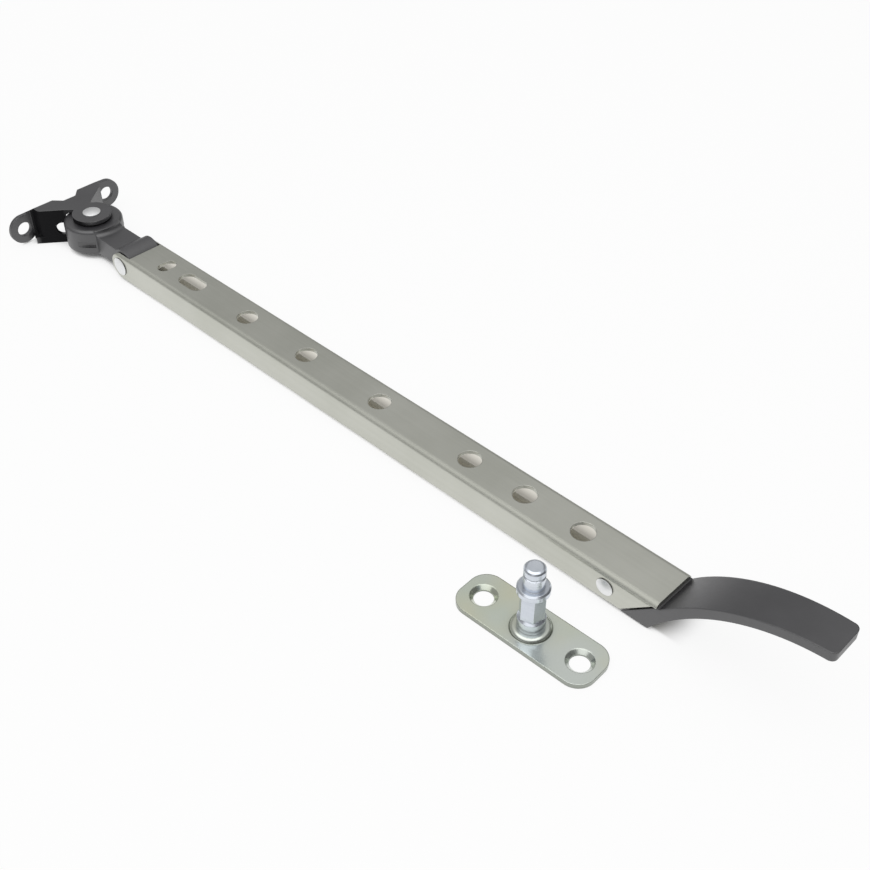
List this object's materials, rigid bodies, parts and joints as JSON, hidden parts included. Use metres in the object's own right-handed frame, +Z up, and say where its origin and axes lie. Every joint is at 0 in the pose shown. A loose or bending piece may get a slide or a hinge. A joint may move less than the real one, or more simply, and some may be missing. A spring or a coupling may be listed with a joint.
{
  "type": "casement stay",
  "caption": "Casement stay with a folded channel arm with peg holes, a black curved handle, a swivel knuckle on a screw-on bracket, and a loose peg plate.",
  "frame": {"origin": "midway between the two screw holes of the bracket, on its mounting face", "axes": "+X along the arm from the bracket to the handle, +Z up out of the web"},
  "size_m": [0.332, 0.0613, 0.0293],
  "materials": {
    "satin_steel": "satin",
    "black_enamel": "satin",
    "bright_zinc": "bright",
    "yellow_zinc": "satin"
  },
  "bodies": {
    "arm": {"arm_channel": "satin_steel", "handle": "black_enamel", "handle_rivet": "bright_zinc", "tilt_rivet": "bright_zinc", "peg_plate": "yellow_zinc", "peg": "bright_zinc"},
    "knuckle": {"knuckle": "black_enamel"},
    "bracket": {"bracket": "black_enamel", "pivot_rivet": "bright_zinc"}
  },
  "joints": [
    {"name": "knuckle_tilt", "type": "hinge", "parent": "arm", "child": "knuckle", "pos_m": [0.0484, 0, -0.00015], "axis": [0, 1, 0], "range_deg": [0, 90]},
    {"name": "bracket_swing", "type": "hinge", "parent": "knuckle", "child": "bracket", "pos_m": [0.0209, 0, 0], "axis": [0, 0, 1], "range_deg": [-90, 90]}
  ]
}
